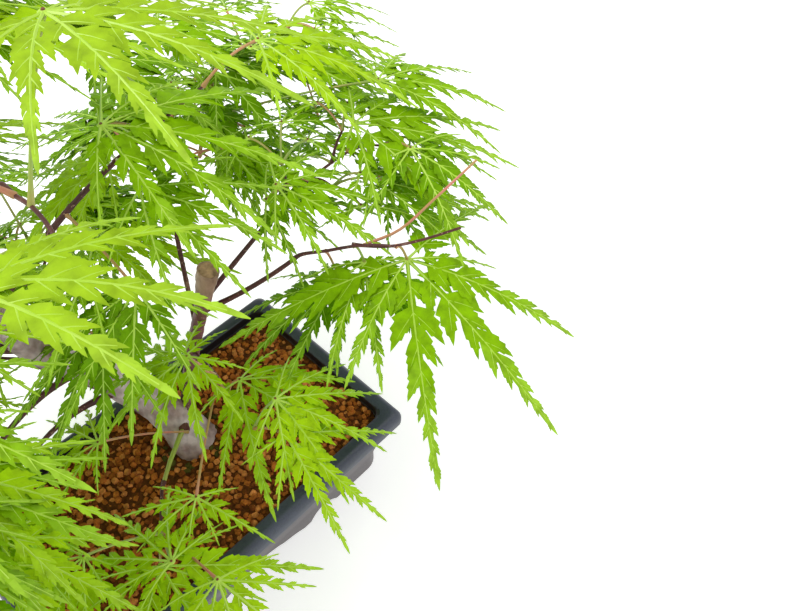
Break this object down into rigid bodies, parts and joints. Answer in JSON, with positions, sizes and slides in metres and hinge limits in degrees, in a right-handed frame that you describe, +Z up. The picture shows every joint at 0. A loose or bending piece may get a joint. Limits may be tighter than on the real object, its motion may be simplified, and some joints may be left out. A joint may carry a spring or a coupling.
{
  "type": "japanese maple bonsai in a pot",
  "caption": "Lace-leaf Japanese maple bonsai with a leaning trunk, arching boughs and drooping feathery leaves, in a low rectangular footed slate-blue pot.",
  "frame": {"origin": "on the ground under the middle of the whole plant's bounding box, at the level of the pot's feet", "axes": "+X along the pot's long side, towards the side with the short second stem; +Y towards the back; +Z up"},
  "size_m": [0.3242, 0.2536, 0.2506],
  "materials": {
    "pot_glaze": "satin slate-blue unglazed stoneware",
    "soil": "matt granular baked clay",
    "bark": "matt smooth grey bark",
    "young_bark": "satin red-brown young bark",
    "leaf": "matt fresh green leaf"
  },
  "bodies": {
    "root": {"pot": "pot_glaze", "soil": "soil", "trunk": "bark", "second_stem": "young_bark", "bough_right_front": "young_bark", "bough_right": "young_bark", "bough_right_rear": "young_bark", "bough_front_right": "young_bark", "bough_front_low": "young_bark", "bough_left_low": "young_bark", "bough_rear_left": "young_bark", "bough_front_left": "young_bark", "bough_rear": "young_bark", "bough_left": "young_bark", "bough_front": "young_bark", "bough_rear_upper": "young_bark", "bough_upper_right": "young_bark", "bough_top_left": "young_bark", "bough_top_front": "young_bark", "bough_top_rear": "young_bark", "foliage_right_front": "leaf", "foliage_right": "leaf", "foliage_right_rear": "leaf", "foliage_front_right": "leaf", "foliage_front_low": "leaf", "foliage_left_low": "leaf", "foliage_rear_left": "leaf", "foliage_front_left": "leaf", "foliage_rear": "leaf", "foliage_left": "leaf", "foliage_front": "leaf", "foliage_rear_upper": "leaf", "foliage_upper_right": "leaf", "foliage_top_left": "leaf", "foliage_top_front": "leaf", "foliage_top_rear": "leaf"}
  },
  "joints": []
}
